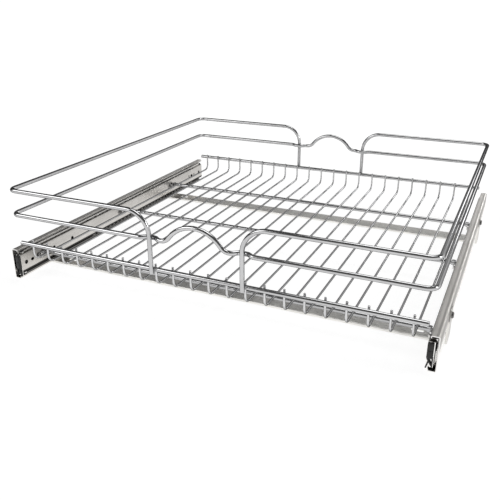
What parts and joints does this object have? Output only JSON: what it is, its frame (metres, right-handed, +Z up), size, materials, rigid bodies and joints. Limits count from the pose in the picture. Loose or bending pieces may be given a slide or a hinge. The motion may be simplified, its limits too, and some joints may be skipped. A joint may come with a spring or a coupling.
{
  "type": "pull out cabinet basket",
  "caption": "Pull-out wire cabinet basket with wavy double guard rails, on telescopic ball-bearing side slides tied by slotted floor bars.",
  "frame": {"origin": "middle of the footprint, on the underside of the floor bars", "axes": "+Z up, front of the basket faces -Y, X across"},
  "size_m": [0.6032, 0.5556, 0.1399],
  "materials": {
    "chrome_wire": "bright chrome-plated wire",
    "slide_zinc": "zinc-plated rolled sheet",
    "cage_zinc": "thin zinc-plated strip",
    "ball_steel": "polished bearing balls",
    "bar_steel": "zinc-plated folded sheet, satin",
    "screw_steel": "dark plated",
    "black_plastic": "moulded, satin black"
  },
  "bodies": {
    "cabinet_frame": {"front_floor_bar": "bar_steel", "rear_floor_bar": "bar_steel", "left_cabinet_member": "slide_zinc", "right_cabinet_member": "slide_zinc", "left_rear_buffer": "black_plastic", "right_rear_buffer": "black_plastic", "ear_screws": "screw_steel"},
    "basket": {"front_rail": "chrome_wire", "rear_rail": "chrome_wire", "floor_wires": "chrome_wire", "front_wire_ends": "chrome_wire", "rear_wire_ends": "chrome_wire", "front_cross_rod": "chrome_wire", "middle_cross_rod": "chrome_wire", "rear_cross_rod": "chrome_wire", "left_top_guard": "chrome_wire", "right_top_guard": "chrome_wire", "left_middle_guard": "chrome_wire", "right_middle_guard": "chrome_wire", "front_wave": "chrome_wire", "rear_wave": "chrome_wire", "left_drawer_member": "slide_zinc", "right_drawer_member": "slide_zinc", "left_front_bumper": "black_plastic", "right_front_bumper": "black_plastic", "rod_screws": "screw_steel"},
    "left_middle": {"left_middle_member": "slide_zinc", "left_middle_stop": "black_plastic"},
    "left_outer_cage": {"left_outer_ball_cage": "cage_zinc", "left_outer_balls": "ball_steel"},
    "left_inner_cage": {"left_inner_ball_cage": "cage_zinc", "left_inner_balls": "ball_steel"},
    "right_middle": {"right_middle_member": "slide_zinc", "right_middle_stop": "black_plastic"},
    "right_outer_cage": {"right_outer_ball_cage": "cage_zinc", "right_outer_balls": "ball_steel"},
    "right_inner_cage": {"right_inner_ball_cage": "cage_zinc", "right_inner_balls": "ball_steel"}
  },
  "joints": [
    {"name": "basket_slide", "type": "slide", "parent": "cabinet_frame", "child": "basket", "axis": [0, -1, 0], "range_m": [0, 0.55]},
    {"name": "left_middle_slide", "type": "slide", "parent": "cabinet_frame", "child": "left_middle", "axis": [0, -1, 0], "range_m": [0, 0.275]},
    {"name": "left_outer_cage_slide", "type": "slide", "parent": "cabinet_frame", "child": "left_outer_cage", "axis": [0, -1, 0], "range_m": [0, 0.1375]},
    {"name": "left_inner_cage_slide", "type": "slide", "parent": "cabinet_frame", "child": "left_inner_cage", "axis": [0, -1, 0], "range_m": [0, 0.4125]},
    {"name": "right_middle_slide", "type": "slide", "parent": "cabinet_frame", "child": "right_middle", "axis": [0, -1, 0], "range_m": [0, 0.275]},
    {"name": "right_outer_cage_slide", "type": "slide", "parent": "cabinet_frame", "child": "right_outer_cage", "axis": [0, -1, 0], "range_m": [0, 0.1375]},
    {"name": "right_inner_cage_slide", "type": "slide", "parent": "cabinet_frame", "child": "right_inner_cage", "axis": [0, -1, 0], "range_m": [0, 0.4125]}
  ],
  "couplings": [
    {"joint": "left_middle_slide", "follows": "basket_slide", "ratio": 0.5},
    {"joint": "left_outer_cage_slide", "follows": "basket_slide", "ratio": 0.25},
    {"joint": "left_inner_cage_slide", "follows": "basket_slide", "ratio": 0.75},
    {"joint": "right_middle_slide", "follows": "basket_slide", "ratio": 0.5},
    {"joint": "right_outer_cage_slide", "follows": "basket_slide", "ratio": 0.25},
    {"joint": "right_inner_cage_slide", "follows": "basket_slide", "ratio": 0.75}
  ]
}
